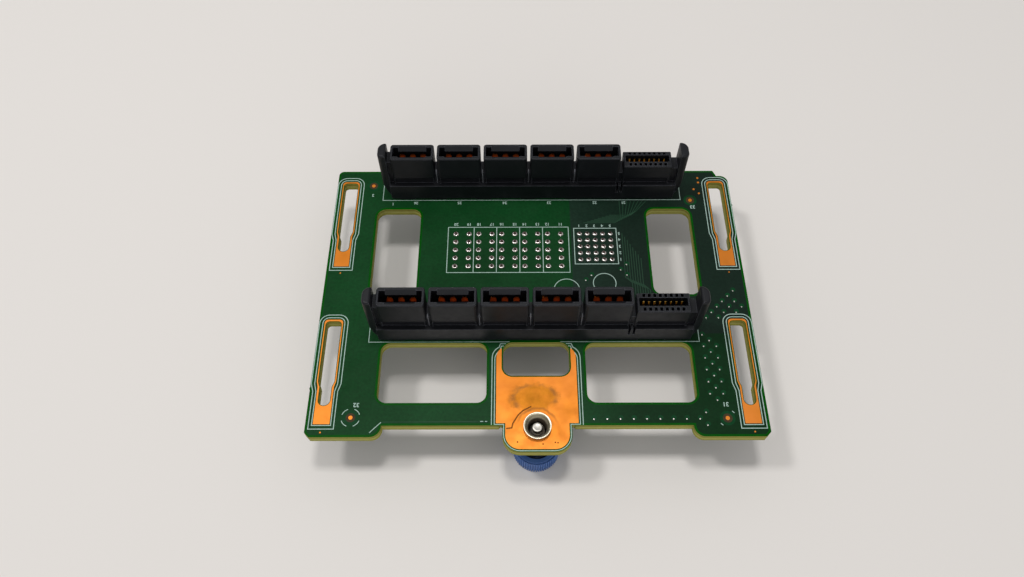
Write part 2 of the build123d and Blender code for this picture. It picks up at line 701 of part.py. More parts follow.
# Screw: its thread rests on the ferrule's lip, its root sits in the knob
thread_z = lip_z + screw_running_gap
tip_z = board_top_z + screw_tip_proud
shank_top_z = tip_z - screw_tip_length
root_z = (knob_floor_t - screw_root_h) / 2
with BuildPart() as captive_screw:
    with BuildSketch(axis_plane):
        with BuildLine():
            Polyline(
                (0, root_z), (screw_root_r, root_z), (screw_root_r, root_z + screw_root_h),
                (screw_neck_r, root_z + screw_root_h), (screw_neck_r, thread_z), (screw_thread_r, thread_z),
                (screw_thread_r, shank_top_z - screw_thread_bevel),
                (screw_thread_r - screw_thread_bevel, shank_top_z), (screw_tip_r, shank_top_z),
                (screw_tip_r, tip_z), (0, tip_z), close=True,
            )
        make_face()
    revolve(axis=axis_line)
captive_screw.part.label = "captive_screw"
export_step(captive_screw.part, "parts/captive_screw.step")

# Knob: a ribbed cup that holds the screw's root and the spring
with BuildPart() as thumb_knob:
    with BuildSketch(Plane(origin=(0, board_mid_y + screw_y, 0))):
        Circle(knob_r - knob_bevel)
    extrude(amount=knob_bevel, taper=-45)
    with BuildSketch(Plane(origin=(0, board_mid_y + screw_y, knob_bevel))):
        Circle(knob_r)
        with PolarLocations(knob_r, knob_rib_count):
            Circle(knob_rib_r)
    extrude(amount=knob_h - 2 * knob_bevel)
    with BuildSketch(Plane(origin=(0, board_mid_y + screw_y, knob_h - knob_bevel))):
        Circle(knob_r)
    extrude(amount=knob_bevel, taper=45)
    with BuildSketch(Plane(origin=(0, board_mid_y + screw_y, knob_h - knob_groove_depth))):
        Circle(knob_groove_r)
        Circle(knob_groove_r - knob_groove_width, mode=Mode.SUBTRACT)
    extrude(amount=knob_groove_depth, mode=Mode.SUBTRACT)
    with BuildSketch(Plane(origin=(0, board_mid_y + screw_y, knob_floor_t))):
        Circle(knob_bore_r)
    extrude(amount=knob_h - knob_floor_t, mode=Mode.SUBTRACT)
    with BuildSketch(Plane(origin=(0, board_mid_y + screw_y, root_z))):
        Circle(screw_root_r + screw_seat_gap)
    extrude(amount=screw_root_h, mode=Mode.SUBTRACT)
    with BuildSketch(Plane(origin=(0, board_mid_y + screw_y, root_z + screw_root_h))):
        Circle(screw_neck_r + screw_seat_gap)
    extrude(amount=knob_floor_t - root_z - screw_root_h, mode=Mode.SUBTRACT)
thumb_knob.part.label = "thumb_knob"
export_step(thumb_knob.part, "parts/thumb_knob.step")

# Spring round the ferrule's barrel, from the knob's floor up to the flange
spring_low = knob_floor_t + spring_seat_gap + spring_wire_r
spring_high = flange_z - spring_seat_gap - spring_wire_r
with BuildPart() as screw_spring:
    with BuildLine(Plane(origin=(0, board_mid_y + screw_y, spring_low))) as coil:
        Helix(pitch=(spring_high - spring_low) / spring_turns, height=spring_high - spring_low, radius=spring_r)
    with BuildSketch(Plane(origin=coil.line @ 0, z_dir=coil.line % 0)):
        Circle(spring_wire_r)
    sweep(path=coil.line, is_frenet=True)
screw_spring.part.label = "screw_spring"
export_step(screw_spring.part, "parts/screw_spring.step")
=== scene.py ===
import math
import bmesh
import bpy
from mathutils import Matrix, Vector


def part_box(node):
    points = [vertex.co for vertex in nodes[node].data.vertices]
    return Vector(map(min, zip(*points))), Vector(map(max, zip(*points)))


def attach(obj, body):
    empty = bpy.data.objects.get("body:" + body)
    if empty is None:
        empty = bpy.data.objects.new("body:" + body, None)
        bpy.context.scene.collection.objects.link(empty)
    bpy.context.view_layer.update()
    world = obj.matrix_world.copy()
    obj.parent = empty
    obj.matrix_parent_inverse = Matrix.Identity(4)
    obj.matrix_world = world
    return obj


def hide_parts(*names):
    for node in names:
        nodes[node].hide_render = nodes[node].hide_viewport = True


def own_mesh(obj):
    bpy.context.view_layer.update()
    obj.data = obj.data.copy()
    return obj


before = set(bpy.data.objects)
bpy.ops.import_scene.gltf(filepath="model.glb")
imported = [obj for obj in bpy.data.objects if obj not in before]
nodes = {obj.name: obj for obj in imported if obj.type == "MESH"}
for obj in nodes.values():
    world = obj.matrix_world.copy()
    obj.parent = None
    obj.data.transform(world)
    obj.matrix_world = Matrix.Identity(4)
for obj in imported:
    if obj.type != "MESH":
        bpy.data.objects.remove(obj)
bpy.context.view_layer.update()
scene = bpy.context.scene
mm = 0.001
fullTurn = 2 * math.pi

boardLow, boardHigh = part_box("circuit_board")
ferruleLow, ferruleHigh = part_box("screw_ferrule")
springLow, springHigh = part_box("screw_spring")
boardRearEdge = 38.1     # from the board's middle to its rear edge
boardTop = Matrix.Translation((0, boardHigh.y - boardRearEdge * mm, boardHigh.z)) @ Matrix.Scale(mm, 4)
boardUnder = Matrix.Translation((0, boardHigh.y - boardRearEdge * mm, boardLow.z)) @ Matrix.Scale(mm, 4)
screwX = (ferruleLow.x + ferruleHigh.x) / 2
screwY = (ferruleLow.y + ferruleHigh.y) / 2
screwAxis = Matrix.Translation((screwX, screwY, 0)) @ Matrix.Scale(mm, 4)
weldDistance = 0.002 * mm     # for copies of the CAD's loose triangles
# places that several pieces share, in millimetres from the board's middle
boardPlan = {"slotX": 49.15, "baySpacing": 42.42, "socketX": -0.3, "socketY": (32.14, -10.28),
             "blockPitch": 11.9}
print("frame loaded")


def tone(red, green, blue):   # a swatch in 0 to 255 as the linear colour that a shader takes
    def linear(value):
        share = value / 255
        return share / 12.92 if share <= 0.04045 else ((share + 0.055) / 1.055) ** 2.4
    return (linear(red), linear(green), linear(blue), 1)


def newMaterial(name, **plain):   # plain values go straight on the shader's own sockets
    material = bpy.data.materials.new(name)
    material.use_nodes = True
    shader = material.node_tree.nodes["Principled BSDF"]
    for socket, value in plain.items():
        shader.inputs[socket.replace("_", " ")].default_value = value
    return material, material.node_tree, shader


def addNode(tree, kind, inputs=(), **settings):
    node = tree.nodes.new(kind)
    for key, value in settings.items():
        setattr(node, key, value)
    for socket, value in dict(inputs).items():
        if isinstance(value, bpy.types.NodeSocket):
            tree.links.new(value, node.inputs[socket])
        else:
            node.inputs[socket].default_value = value
    return node


def objectPlace(tree):
    return addNode(tree, "ShaderNodeTexCoord").outputs["Object"]


def noise(tree, place, scale, detail=3, roughness=0.5):
    return addNode(tree, "ShaderNodeTexNoise",
                   {"Vector": place, "Scale": scale, "Detail": detail, "Roughness": roughness}).outputs["Fac"]


def ramp(tree, factor, stops):   # stops are (position, colour)
    node = addNode(tree, "ShaderNodeValToRGB", {"Fac": factor})
    elements = node.color_ramp.elements
    while len(elements) < len(stops):
        elements.new(0.5)
    for element, (position, colour) in zip(elements, stops):
        element.position = position
        element.color = colour
    return node.outputs["Color"]


def patches(tree, factor, first, second):   # two colours, blended over the middle of a noise
    return ramp(tree, factor, [(0.3, first), (0.7, second)])


def span(tree, value, low, high, toLow, toHigh):
    return addNode(tree, "ShaderNodeMapRange",
                   {"Value": value, "From Min": low, "From Max": high,
                    "To Min": toLow, "To Max": toHigh}).outputs["Result"]


def gloss(tree, place, scale, low, high):   # roughness that wanders between two levels
    return span(tree, noise(tree, place, scale, 3), 0.3, 0.7, low, high)


def mixColours(tree, factor, first, second, blend="MIX"):
    node = addNode(tree, "ShaderNodeMix", data_type="RGBA", blend_type=blend)
    for socket, value in ((node.inputs[0], factor), (node.inputs[6], first), (node.inputs[7], second)):
        if isinstance(value, bpy.types.NodeSocket):
            tree.links.new(value, socket)
        else:
            socket.default_value = value
    return node.outputs[2]


def maths(tree, operation, first, second=0.0):
    return addNode(tree, "ShaderNodeMath", {0: first, 1: second}, operation=operation).outputs[0]


def bump(tree, shader, height, strength, distance, normal=None):
    node = addNode(tree, "ShaderNodeBump", {"Height": height, "Strength": strength, "Distance": distance * mm})
    if normal is not None:
        tree.links.new(normal, node.inputs["Normal"])
    tree.links.new(node.outputs["Normal"], shader.inputs["Normal"])


def finish(name, look):   # the common finish: two tones in patches, uneven gloss and a fine grain
    material, tree, shader = newMaterial(name, Metallic=look.get("metallic", 0), **look.get("plain", {}))
    place = objectPlace(tree)
    colour = patches(tree, noise(tree, place, look["patchScale"], 4, 0.6), look["base"], look["second"])
    tree.links.new(colour, shader.inputs["Base Color"])
    tree.links.new(gloss(tree, place, look["glossScale"], *look["rough"]), shader.inputs["Roughness"])
    grain = noise(tree, place, look["grainScale"], 2)
    bump(tree, shader, grain, look["grainStrength"], look["grainDepth"])
    return material


# solder mask over the copper planes, which dims towards the signal side
maskLook = {
    "plane": tone(15, 66, 30), "planeDark": tone(9, 57, 23), "signal": tone(30, 52, 40),
    "planeEdgeX": 9.6, "planeEdgeY": -12, "edgeBlur": 0.1, "roughness": (0.3, 0.42), "specular": 0.09,
    "dimFrom": 6, "dimTo": 24, "full": (1, 1, 1, 1), "dimmed": (0.5, 0.53, 0.52, 1),
    "speckDark": (0.82, 0.82, 0.82, 1), "speckLight": (1.1, 1.1, 1.1, 1),
}


def planeMask():
    material, tree, shader = newMaterial("planeMask", Specular_IOR_Level=maskLook["specular"])
    place = objectPlace(tree)
    parts = addNode(tree, "ShaderNodeSeparateXYZ", {0: place})
    across, along = parts.outputs["X"], parts.outputs["Y"]
    edgeX, blur = maskLook["planeEdgeX"] * mm, maskLook["edgeBlur"] * mm
    edgeY = boardHigh.y + (maskLook["planeEdgeY"] - boardRearEdge) * mm
    signalSide = maths(tree, "MULTIPLY", span(tree, along, edgeY - blur, edgeY + blur, 0, 1),
                       span(tree, across, edgeX - blur, edgeX + blur, 0, 1))
    cloud = ramp(tree, noise(tree, place, 60, 3), [(0.35, maskLook["planeDark"]), (0.7, maskLook["plane"])])
    colour = mixColours(tree, signalSide, cloud, maskLook["signal"])
    farness = span(tree, across, maskLook["dimFrom"] * mm, maskLook["dimTo"] * mm, 0, 1)
    dim = ramp(tree, farness, [(0, maskLook["full"]), (1, maskLook["dimmed"])])
    colour = mixColours(tree, 1.0, colour, dim, "MULTIPLY")
    speck = patches(tree, noise(tree, place, 1500, 2), maskLook["speckDark"], maskLook["speckLight"])
    tree.links.new(mixColours(tree, 1.0, colour, speck, "MULTIPLY"), shader.inputs["Base Color"])
    tree.links.new(gloss(tree, place, 300, *maskLook["roughness"]), shader.inputs["Roughness"])
    bump(tree, shader, noise(tree, place, 2200, 2), 0.12, 0.02)
    return material


def boardBody():   # bright mask on the two faces, laminate with its layers on the sides
    look = {"bare": tone(0, 80, 4), "bareDark": tone(0, 70, 2), "laminate": tone(156, 154, 78),
            "laminateDark": tone(118, 108, 50), "layer": tone(178, 174, 104), "faceShare": 0.003,
            "frayDark": (0.78, 0.78, 0.74, 1), "frayLight": (1.1, 1.1, 1.05, 1),
            "sideRough": 0.75, "maskRough": 0.35}
    material, tree, shader = newMaterial("boardBody", Specular_IOR_Level=0.06)
    place = objectPlace(tree)
    height = addNode(tree, "ShaderNodeSeparateXYZ", {0: place}).outputs["Z"]
    level = span(tree, height, boardLow.z, boardHigh.z, 0, 1)
    faces = maths(tree, "MAXIMUM", maths(tree, "GREATER_THAN", level, 1 - look["faceShare"]),
                  maths(tree, "LESS_THAN", level, look["faceShare"]))
    layers = ramp(tree, level, [
        (0.0, look["laminateDark"]), (0.06, look["laminate"]), (0.3, look["laminate"]),
        (0.33, look["laminateDark"]), (0.36, look["layer"]), (0.62, look["laminate"]), (0.66, look["layer"]),
        (0.7, look["laminateDark"]), (0.94, look["laminate"]), (1.0, look["laminate"]),
    ])
    fibres = addNode(tree, "ShaderNodeMapping", {"Vector": place, "Scale": (1, 1, 12)}).outputs[0]
    fray = patches(tree, noise(tree, fibres, 900, 3), look["frayDark"], look["frayLight"])
    laminate = mixColours(tree, 1.0, layers, fray, "MULTIPLY")
    green = patches(tree, noise(tree, place, 400, 2), look["bareDark"], look["bare"])
    tree.links.new(mixColours(tree, faces, laminate, green), shader.inputs["Base Color"])
    tree.links.new(span(tree, faces, 0, 1, look["sideRough"], look["maskRough"]), shader.inputs["Roughness"])
    bump(tree, shader, noise(tree, fibres, 1800, 2), 0.25, 0.03)
    return material


def copperLand():   # bare copper with a tarnished patch and a rubbed arc behind the screw
    look = {"copper": tone(206, 122, 34), "rosy": tone(222, 132, 52), "tarnish": tone(176, 108, 20),
            "brown": tone(130, 80, 34), "fringe": tone(138, 88, 40),
            "patchPlace": (-0.6, 7.4), "patchFlat": 1.65, "patchReach": (4.4, 6.6), "patchRagged": 2,
            "fringeAt": 5.3, "fringeWide": (0.2, 1.0), "arcRadius": 4.6, "arcWide": (0.1, 0.45), "arcWavy": 0.5,
            "arcFrom": (0.5, 3)}
    material, tree, shader = newMaterial("copperLand", Metallic=0.85)
    place = objectPlace(tree)
    unmarked = patches(tree, noise(tree, place, 120, 3), look["copper"], look["rosy"])
    patchX, patchY = look["patchPlace"]
    centre = (screwX + patchX * mm, screwY + patchY * mm, boardHigh.z)
    local = addNode(tree, "ShaderNodeMapping", {"Vector": place, "Location": [-c for c in centre]}).outputs[0]
    flat = addNode(tree, "ShaderNodeMapping", {"Vector": local, "Scale": (1, look["patchFlat"], 1)}).outputs[0]
    reach = addNode(tree, "ShaderNodeVectorMath", {0: flat}, operation="LENGTH").outputs["Value"]
    rag = look["patchRagged"] * mm
    ragged = maths(tree, "ADD", reach, span(tree, noise(tree, place, 260, 4, 0.7), 0, 1, -rag, rag))
    full, none = look["patchReach"]
    stained = span(tree, ragged, full * mm, none * mm, 1, 0)
    blotch = ramp(tree, noise(tree, place, 420, 4, 0.65), [(0.35, look["tarnish"]), (0.9, look["copper"])])
    colour = mixColours(tree, stained, unmarked, blotch)
    border = maths(tree, "ABSOLUTE", maths(tree, "SUBTRACT", ragged, look["fringeAt"] * mm))
    patchy = span(tree, noise(tree, place, 240, 3), 0.48, 0.62, 0, 0.75)
    full, none = look["fringeWide"]
    fringed = maths(tree, "MULTIPLY", span(tree, border, full * mm, none * mm, 1, 0), patchy)
    colour = mixColours(tree, fringed, colour, look["fringe"])
    # the rubbed arc, about the screw's own axis
    ringPlace = addNode(tree, "ShaderNodeMapping",
                        {"Vector": place, "Location": (-screwX, -screwY, -boardHigh.z)}).outputs[0]
    radius = addNode(tree, "ShaderNodeVectorMath", {0: ringPlace}, operation="LENGTH").outputs["Value"]
    wave = look["arcWavy"] * mm
    wavy = maths(tree, "ADD", radius, span(tree, noise(tree, place, 500, 3), 0, 1, -wave, wave))
    away = maths(tree, "ABSOLUTE", maths(tree, "SUBTRACT", wavy, look["arcRadius"] * mm))
    behind = addNode(tree, "ShaderNodeSeparateXYZ", {0: ringPlace}).outputs["Y"]
    full, none = look["arcWide"]
    near, far = look["arcFrom"]
    rubbed = maths(tree, "MULTIPLY", span(tree, away, full * mm, none * mm, 0.6, 0),
                   span(tree, behind, near * mm, far * mm, 0, 1))
    colour = mixColours(tree, rubbed, colour, look["brown"])
    tree.links.new(colour, shader.inputs["Base Color"])
    tree.links.new(gloss(tree, place, 350, 0.38, 0.55), shader.inputs["Roughness"])
    bump(tree, shader, noise(tree, place, 1600, 3), 0.1, 0.03)
    return material


def mouldedPlastic(name, look):   # black moulding: fine grain, edges rounded by the shader and lighter along them, partly rubbed wear and partly a painted highlight
    material, tree, shader = newMaterial(name, Specular_IOR_Level=look["specular"])
    place = objectPlace(tree)
    rounded = addNode(tree, "ShaderNodeBevel", {"Radius": look["edge"] * mm}, samples=4).outputs["Normal"]
    flatNormal = addNode(tree, "ShaderNodeNewGeometry").outputs["Normal"]
    turnOff = addNode(tree, "ShaderNodeVectorMath", {0: rounded, 1: flatNormal},
                      operation="DOT_PRODUCT").outputs["Value"]
    # lighter colour along the rounded edges: a painted highlight, with some rubbed wear
    edgeWornAndLit = span(tree, turnOff, 0.98, 0.8, 0, look["edgeWearAndHighlight"])
    body = patches(tree, noise(tree, place, 180, 3), look["dark"], look["base"])
    tree.links.new(mixColours(tree, edgeWornAndLit, body, look["wornAndHighlitEdge"]), shader.inputs["Base Color"])
    tree.links.new(gloss(tree, place, 500, *look["rough"]), shader.inputs["Roughness"])
    bump(tree, shader, noise(tree, place, 3500, 2), look["grain"], 0.02, rounded)
    return material


socketPlastic = mouldedPlastic("socketPlastic", {
    "base": tone(24, 25, 29), "dark": tone(18, 19, 23), "wornAndHighlitEdge": tone(118, 120, 130), "edgeWearAndHighlight": 0.8,
    "specular": 0.25, "rough": (0.38, 0.5), "edge": 0.12, "grain": 0.25,
})
# light grey plastic for the gap ribs: the grey is a painted highlight standing in for their lit edges
ribHighlightPlastic = mouldedPlastic("ribHighlightPlastic", {
    "base": tone(120, 122, 128), "dark": tone(44, 45, 50), "wornAndHighlitEdge": tone(150, 152, 158), "edgeWearAndHighlight": 0.5,
    "specular": 0.3, "rough": (0.4, 0.5), "edge": 0.08, "grain": 0.3,
})
linkPlastic = mouldedPlastic("linkPlastic", {
    "base": tone(48, 47, 47), "dark": tone(38, 37, 38), "wornAndHighlitEdge": tone(90, 90, 92), "edgeWearAndHighlight": 0.5,
    "specular": 0.4, "rough": (0.5, 0.65), "edge": 0.15, "grain": 0.3,
})
contactCopper = finish("contactCopper", {
    "metallic": 1, "base": tone(158, 90, 36), "second": tone(176, 106, 46), "patchScale": 500,
    "glossScale": 900, "rough": (0.3, 0.45), "grainScale": 3000, "grainStrength": 0.1, "grainDepth": 0.01})
contactGold = finish("contactGold", {
    "metallic": 1, "base": tone(188, 148, 72), "second": tone(208, 170, 92), "patchScale": 700,
    "glossScale": 900, "rough": (0.2, 0.35), "grainScale": 3000, "grainStrength": 0.08, "grainDepth": 0.01})
brightTin = finish("brightTin", {
    "metallic": 1, "base": tone(222, 210, 205), "second": tone(245, 240, 235), "patchScale": 900,
    "glossScale": 1500, "rough": (0.18, 0.34), "grainScale": 2500, "grainStrength": 0.35, "grainDepth": 0.03})


def pinMetal():   # tinned blades and pins; their tops above the board painted dark as a painted dark reflection, and rougher
    look = {"base": tone(170, 158, 150), "second": tone(215, 205, 198), "cut": tone(58, 44, 40),
            "cutLight": tone(96, 80, 74), "cutFrom": 0.2}
    material, tree, shader = newMaterial("pinMetal", Metallic=0.9)
    place = objectPlace(tree)
    tin = patches(tree, noise(tree, place, 700, 3), look["base"], look["second"])
    # the dark tone on the tops is a painted reflection of a dark room, not the tin's own colour
    cut = ramp(tree, noise(tree, place, 900, 2), [(0.4, look["cut"]), (0.7, look["cutLight"])])
    height = addNode(tree, "ShaderNodeSeparateXYZ", {0: place}).outputs["Z"]
    top = maths(tree, "GREATER_THAN", height, boardHigh.z + look["cutFrom"] * mm)
    tree.links.new(mixColours(tree, top, tin, cut), shader.inputs["Base Color"])
    tree.links.new(span(tree, top, 0, 1, 0.3, 0.55), shader.inputs["Roughness"])
    bump(tree, shader, noise(tree, place, 2500, 2), 0.3, 0.02)
    return material


pinTin = pinMetal()


def nickelPlate():   # bright turned plating, darker and rougher inside the bore; the darker colour there is painted shade
    look = {"base": tone(212, 204, 182), "second": tone(236, 230, 210), "boreShade": tone(96, 82, 68),
            "boreShadeRadius": (2.14, 2.4), "boreRough": 0.25, "rough": (0.34, 0.46)}
    material, tree, shader = newMaterial("nickelPlate", Metallic=1)
    place = objectPlace(tree)
    plate = patches(tree, noise(tree, place, 350, 4, 0.6), look["base"], look["second"])
    local = addNode(tree, "ShaderNodeMapping", {"Vector": place, "Location": (-screwX, -screwY, 0)}).outputs[0]
    level = addNode(tree, "ShaderNodeVectorMath", {0: local, 1: (1, 1, 0)}, operation="MULTIPLY").outputs[0]
    radius = addNode(tree, "ShaderNodeVectorMath", {0: level}, operation="LENGTH").outputs["Value"]
    shadeFull, unmarked = look["boreShadeRadius"]
    # painted shade inside the bore: full at the bore's wall, gone by the middle of the funnel
    inside = span(tree, radius, shadeFull * mm, unmarked * mm, 1, 0)
    tree.links.new(mixColours(tree, inside, plate, look["boreShade"]), shader.inputs["Base Color"])
    bright = gloss(tree, place, 900, *look["rough"])
    duller = maths(tree, "MULTIPLY", inside, look["boreRough"])
    tree.links.new(maths(tree, "ADD", bright, duller), shader.inputs["Roughness"])
    bump(tree, shader, noise(tree, place, 1800, 2), 0.12, 0.02)
    return material


ferrulePlate = nickelPlate()
zincScrew = finish("zincScrew", {
    "metallic": 1, "base": tone(146, 142, 134), "second": tone(184, 180, 172), "patchScale": 600,
    "glossScale": 900, "rough": (0.34, 0.48), "grainScale": 2200, "grainStrength": 0.2, "grainDepth": 0.02})
# the spring's steel is painted dark: painted shade from the board's tab above it
shadeDarkSpringSteel = finish("shadeDarkSpringSteel", {
    "metallic": 1, "base": tone(60, 68, 86), "second": tone(86, 94, 114), "patchScale": 800,
    "glossScale": 1200, "rough": (0.25, 0.38), "grainScale": 2600, "grainStrength": 0.1, "grainDepth": 0.01})
knobPlastic = finish("knobPlastic", {
    "plain": {"Specular_IOR_Level": 0.45}, "base": tone(64, 99, 160), "second": tone(81, 118, 180),
    "patchScale": 250, "glossScale": 500, "rough": (0.42, 0.55),
    "grainScale": 3000, "grainStrength": 0.3, "grainDepth": 0.02})
printInk = finish("printInk", {
    "base": tone(146, 176, 162), "second": tone(178, 200, 190), "patchScale": 1500, "glossScale": 900,
    "rough": (0.5, 0.65), "grainScale": 4000, "grainStrength": 0.3, "grainDepth": 0.02})
darkStain = finish("darkStain", {
    "metallic": 1, "base": tone(96, 56, 24), "second": tone(130, 80, 34), "patchScale": 900,
    "glossScale": 900, "rough": (0.45, 0.6), "grainScale": 2500, "grainStrength": 0.2, "grainDepth": 0.01})
maskRim = finish("maskRim", {
    "plain": {"Specular_IOR_Level": 0.09}, "base": tone(4, 56, 26), "second": tone(6, 64, 32),
    "patchScale": 900, "glossScale": 900, "rough": (0.3, 0.4),
    "grainScale": 2500, "grainStrength": 0.1, "grainDepth": 0.01})
bareLaminate = finish("bareLaminate", {
    "plain": {"Specular_IOR_Level": 0.2}, "base": tone(48, 38, 20), "second": tone(70, 54, 28),
    "patchScale": 1200, "glossScale": 900, "rough": (0.5, 0.7),
    "grainScale": 3500, "grainStrength": 0.3, "grainDepth": 0.02})
traceMask = finish("traceMask", {
    "plain": {"Specular_IOR_Level": 0.15}, "base": tone(36, 66, 48), "second": tone(42, 74, 54),
    "patchScale": 300, "glossScale": 500, "rough": (0.28, 0.36),
    "grainScale": 2200, "grainStrength": 0.1, "grainDepth": 0.01})
boardMaterial = boardBody()
planeMaterial = planeMask()
landMaterial = copperLand()
print("materials made")


def dress(material, *names):   # a CAD node keeps its shape and gets a finish
    for name in names:
        for slot in nodes[name].material_slots:
            slot.material = material


def addPiece(name, shape, material, body="root", sharpAt=35):
    for edge in shape.edges:
        edge.smooth = edge.calc_face_angle(0) < math.radians(sharpAt)
    for face in shape.faces:
        face.smooth = True
    mesh = bpy.data.meshes.new(name)
    shape.to_mesh(mesh)
    shape.free()
    mesh.materials.append(material)
    piece = bpy.data.objects.new(name, mesh)
    scene.collection.objects.link(piece)
    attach(piece, body)
    return piece


def turned(profile, steps, closed=False):   # (radius, height) points turned about Z
    shape = bmesh.new()
    verts = [shape.verts.new((radius, 0, height)) for radius, height in profile]
    ring = verts + verts[:1] if closed else verts
    edges = [shape.edges.new(pair) for pair in zip(ring, ring[1:])]
    bmesh.ops.spin(shape, geom=verts + edges, cent=(0, 0, 0), axis=(0, 0, 1), dvec=(0, 0, 0),
                   angle=fullTurn, steps=steps, use_merge=True)
    bmesh.ops.remove_doubles(shape, verts=shape.verts, dist=0.0005)
    bmesh.ops.recalc_face_normals(shape, faces=shape.faces)
    return shape


def addCopies(shape, form, places):   # form, in millimetres, at each place
    stamp = bpy.data.meshes.new("stamp")
    form.to_mesh(stamp)
    form.free()
    for place in places:
        copy = stamp.copy()
        copy.transform(place)
        shape.from_mesh(copy)
        bpy.data.meshes.remove(copy)
    bpy.data.meshes.remove(stamp)


def addMesh(shape, holder, place):   # a curve or text made a mesh, then placed
    mesh = bpy.data.meshes.new_from_object(holder)
    mesh.transform(place)
    shape.from_mesh(mesh)
    data = holder.data
    bpy.data.objects.remove(holder)
    bpy.data.curves.remove(data)
    bpy.data.meshes.remove(mesh)


def addStroke(shape, points, width, closed=False, low=0.02, rise=0.02):   # a flat line on the board's top
    line = bpy.data.curves.new("stroke", "CURVE")
    line.dimensions = "2D"
    line.fill_mode = "NONE"
    line.bevel_depth = width / 2
    line.bevel_resolution = 1
    line.use_fill_caps = True
    spline = line.splines.new("POLY")
    spline.points.add(len(points) - 1)
    for point, (x, y) in zip(spline.points, points):
        point.co = (x, y, 0, 1)
    spline.use_cyclic_u = closed
    flat = Matrix.Translation((0, 0, low)) @ Matrix.Diagonal((1, 1, 2 * rise / width, 1))
    addMesh(shape, bpy.data.objects.new("stroke", line), boardTop @ flat)


def arc(cx, cy, radius, start, end, steps=8):   # angles in degrees
    angles = [math.radians(start + (end - start) * i / steps) for i in range(steps + 1)]
    return [(cx + radius * math.cos(a), cy + radius * math.sin(a)) for a in angles]


# the darker field where copper lies under the mask, held back from every edge
fieldSettings = {"inset": 0.55, "thickness": 0.02, "smallHole": 2.0}


def boardField(name, up):
    shape = bmesh.new()
    shape.from_mesh(nodes["circuit_board"].data)
    bmesh.ops.remove_doubles(shape, verts=shape.verts, dist=weldDistance)
    level = boardHigh.z if up > 0 else boardLow.z
    rest = [f for f in shape.faces if abs(f.calc_center_median().z - level) > 0.005 * mm]
    bmesh.ops.delete(shape, geom=rest, context="FACES")
    loose = {e for e in shape.edges if e.is_boundary}
    while loose:                                   # the plated holes are closed for now
        loop, fringe = set(), [loose.pop()]
        while fringe:
            edge = fringe.pop()
            loop.add(edge)
            for vert in edge.verts:
                for other in vert.link_edges:
                    if other in loose:
                        loose.discard(other)
                        fringe.append(other)
        xs = [v.co.x for e in loop for v in e.verts]
        if max(xs) - min(xs) < fieldSettings["smallHole"] * mm:
            for face in bmesh.ops.holes_fill(shape, edges=list(loop), sides=0)["faces"]:
                face.material_index = 1
    bmesh.ops.dissolve_limit(shape, angle_limit=0.01, verts=shape.verts[:], edges=shape.edges[:],
                             delimit={"MATERIAL"})
    rim = bmesh.ops.inset_region(shape, faces=shape.faces[:], use_boundary=True, use_even_offset=True,
                                 thickness=fieldSettings["inset"] * mm)["faces"]
    bmesh.ops.delete(shape, geom=rim, context="FACES")
    holes = [f for f in shape.faces if f.material_index == 1]
    bmesh.ops.delete(shape, geom=holes, context="FACES")
    bmesh.ops.triangulate(shape, faces=shape.faces[:], quad_method="BEAUTY", ngon_method="BEAUTY")
    for face in shape.faces:
        if face.normal.z * up < 0:
            face.normal_flip()
    bmesh.ops.solidify(shape, geom=shape.faces[:], thickness=-fieldSettings["thickness"] * mm)
    bmesh.ops.recalc_face_normals(shape, faces=shape.faces)
    return addPiece(name, shape, planeMaterial, sharpAt=20)


boardField("top_mask_field", 1)
boardField("under_mask_field", -1)
dress(boardMaterial, "circuit_board")
dress(landMaterial, "slot_pads", "tab_pad")

# the lands of the keyhole slots end short of the printed lines
slotLandSettings = {"end": 7.42}


def makeSlotLands():
    shape = bmesh.new()
    shape.from_mesh(nodes["slot_pads"].data)
    bmesh.ops.remove_doubles(shape, verts=shape.verts, dist=weldDistance)
    middle = boardHigh.y - boardRearEdge * mm
    for shift, rear in ((0, True), (boardPlan["baySpacing"], False)):
        end = middle + (slotLandSettings["end"] - shift) * mm
        row = [f for f in shape.faces if (f.calc_center_median().y > middle) == rear]
        geom = row + list({e for f in row for e in f.edges}) + list({v for f in row for v in f.verts})
        bmesh.ops.bisect_plane(shape, geom=geom, dist=0.0001 * mm, plane_co=(0, end, 0), plane_no=(0, -1, 0),
                               clear_outer=True)
    bmesh.ops.holes_fill(shape, edges=[e for e in shape.edges if e.is_boundary], sides=0)
    bmesh.ops.recalc_face_normals(shape, faces=shape.faces)
    piece = addPiece("slot_lands", shape, landMaterial, sharpAt=20)
    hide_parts("slot_pads")


makeSlotLands()
print("board dressed")

# printed lines: sockets, slots, link connector, tab and marks
printSettings = {
    "line": 0.2, "fine": 0.18, "stepLow": 15.5, "stepHigh": 17.4,
    # each slot has two outlines: half width above and below the step, bottom, top, corner
    "slots": [(2.68, 2.18, 7.13, 34.98, 1.5), (3.47, 2.9, 6.27, 35.75, 2.3)],
    "socketX": (-40.2, 39.29), "socketFront": 28.28, "socketRear": 35.95, "frontBreak": (-6.34, 5.9),
    "powerBox": (-22.3, 9.0, 5.5, 19.45), "powerDividers": (-15.57, -9.67, -3.70, 2.27),
    "signalBox": (10.4, 21.45, 8.0, 19.05),
    "rings": [(8.0, 0.33, 3.2), (17.55, 2.3, 2.85)],
    "leftArcs": {"circle": (-42.63, -33.43, 2.15), "starts": (20, 110, 200, 290), "sweep": 50, "steps": 6},
    "rightArcs": {"circle": (43.4, -33.71, 2.1), "starts": (36, 216), "sweep": 18, "steps": 3},
    "dashes": [[(-38.04, -37.07), (-35.6, -34.58)], [(-13.0, -34.4), (-12.3, -34.4)],
               [(-11.9, -34.4), (-11.4, -34.4)]],
}


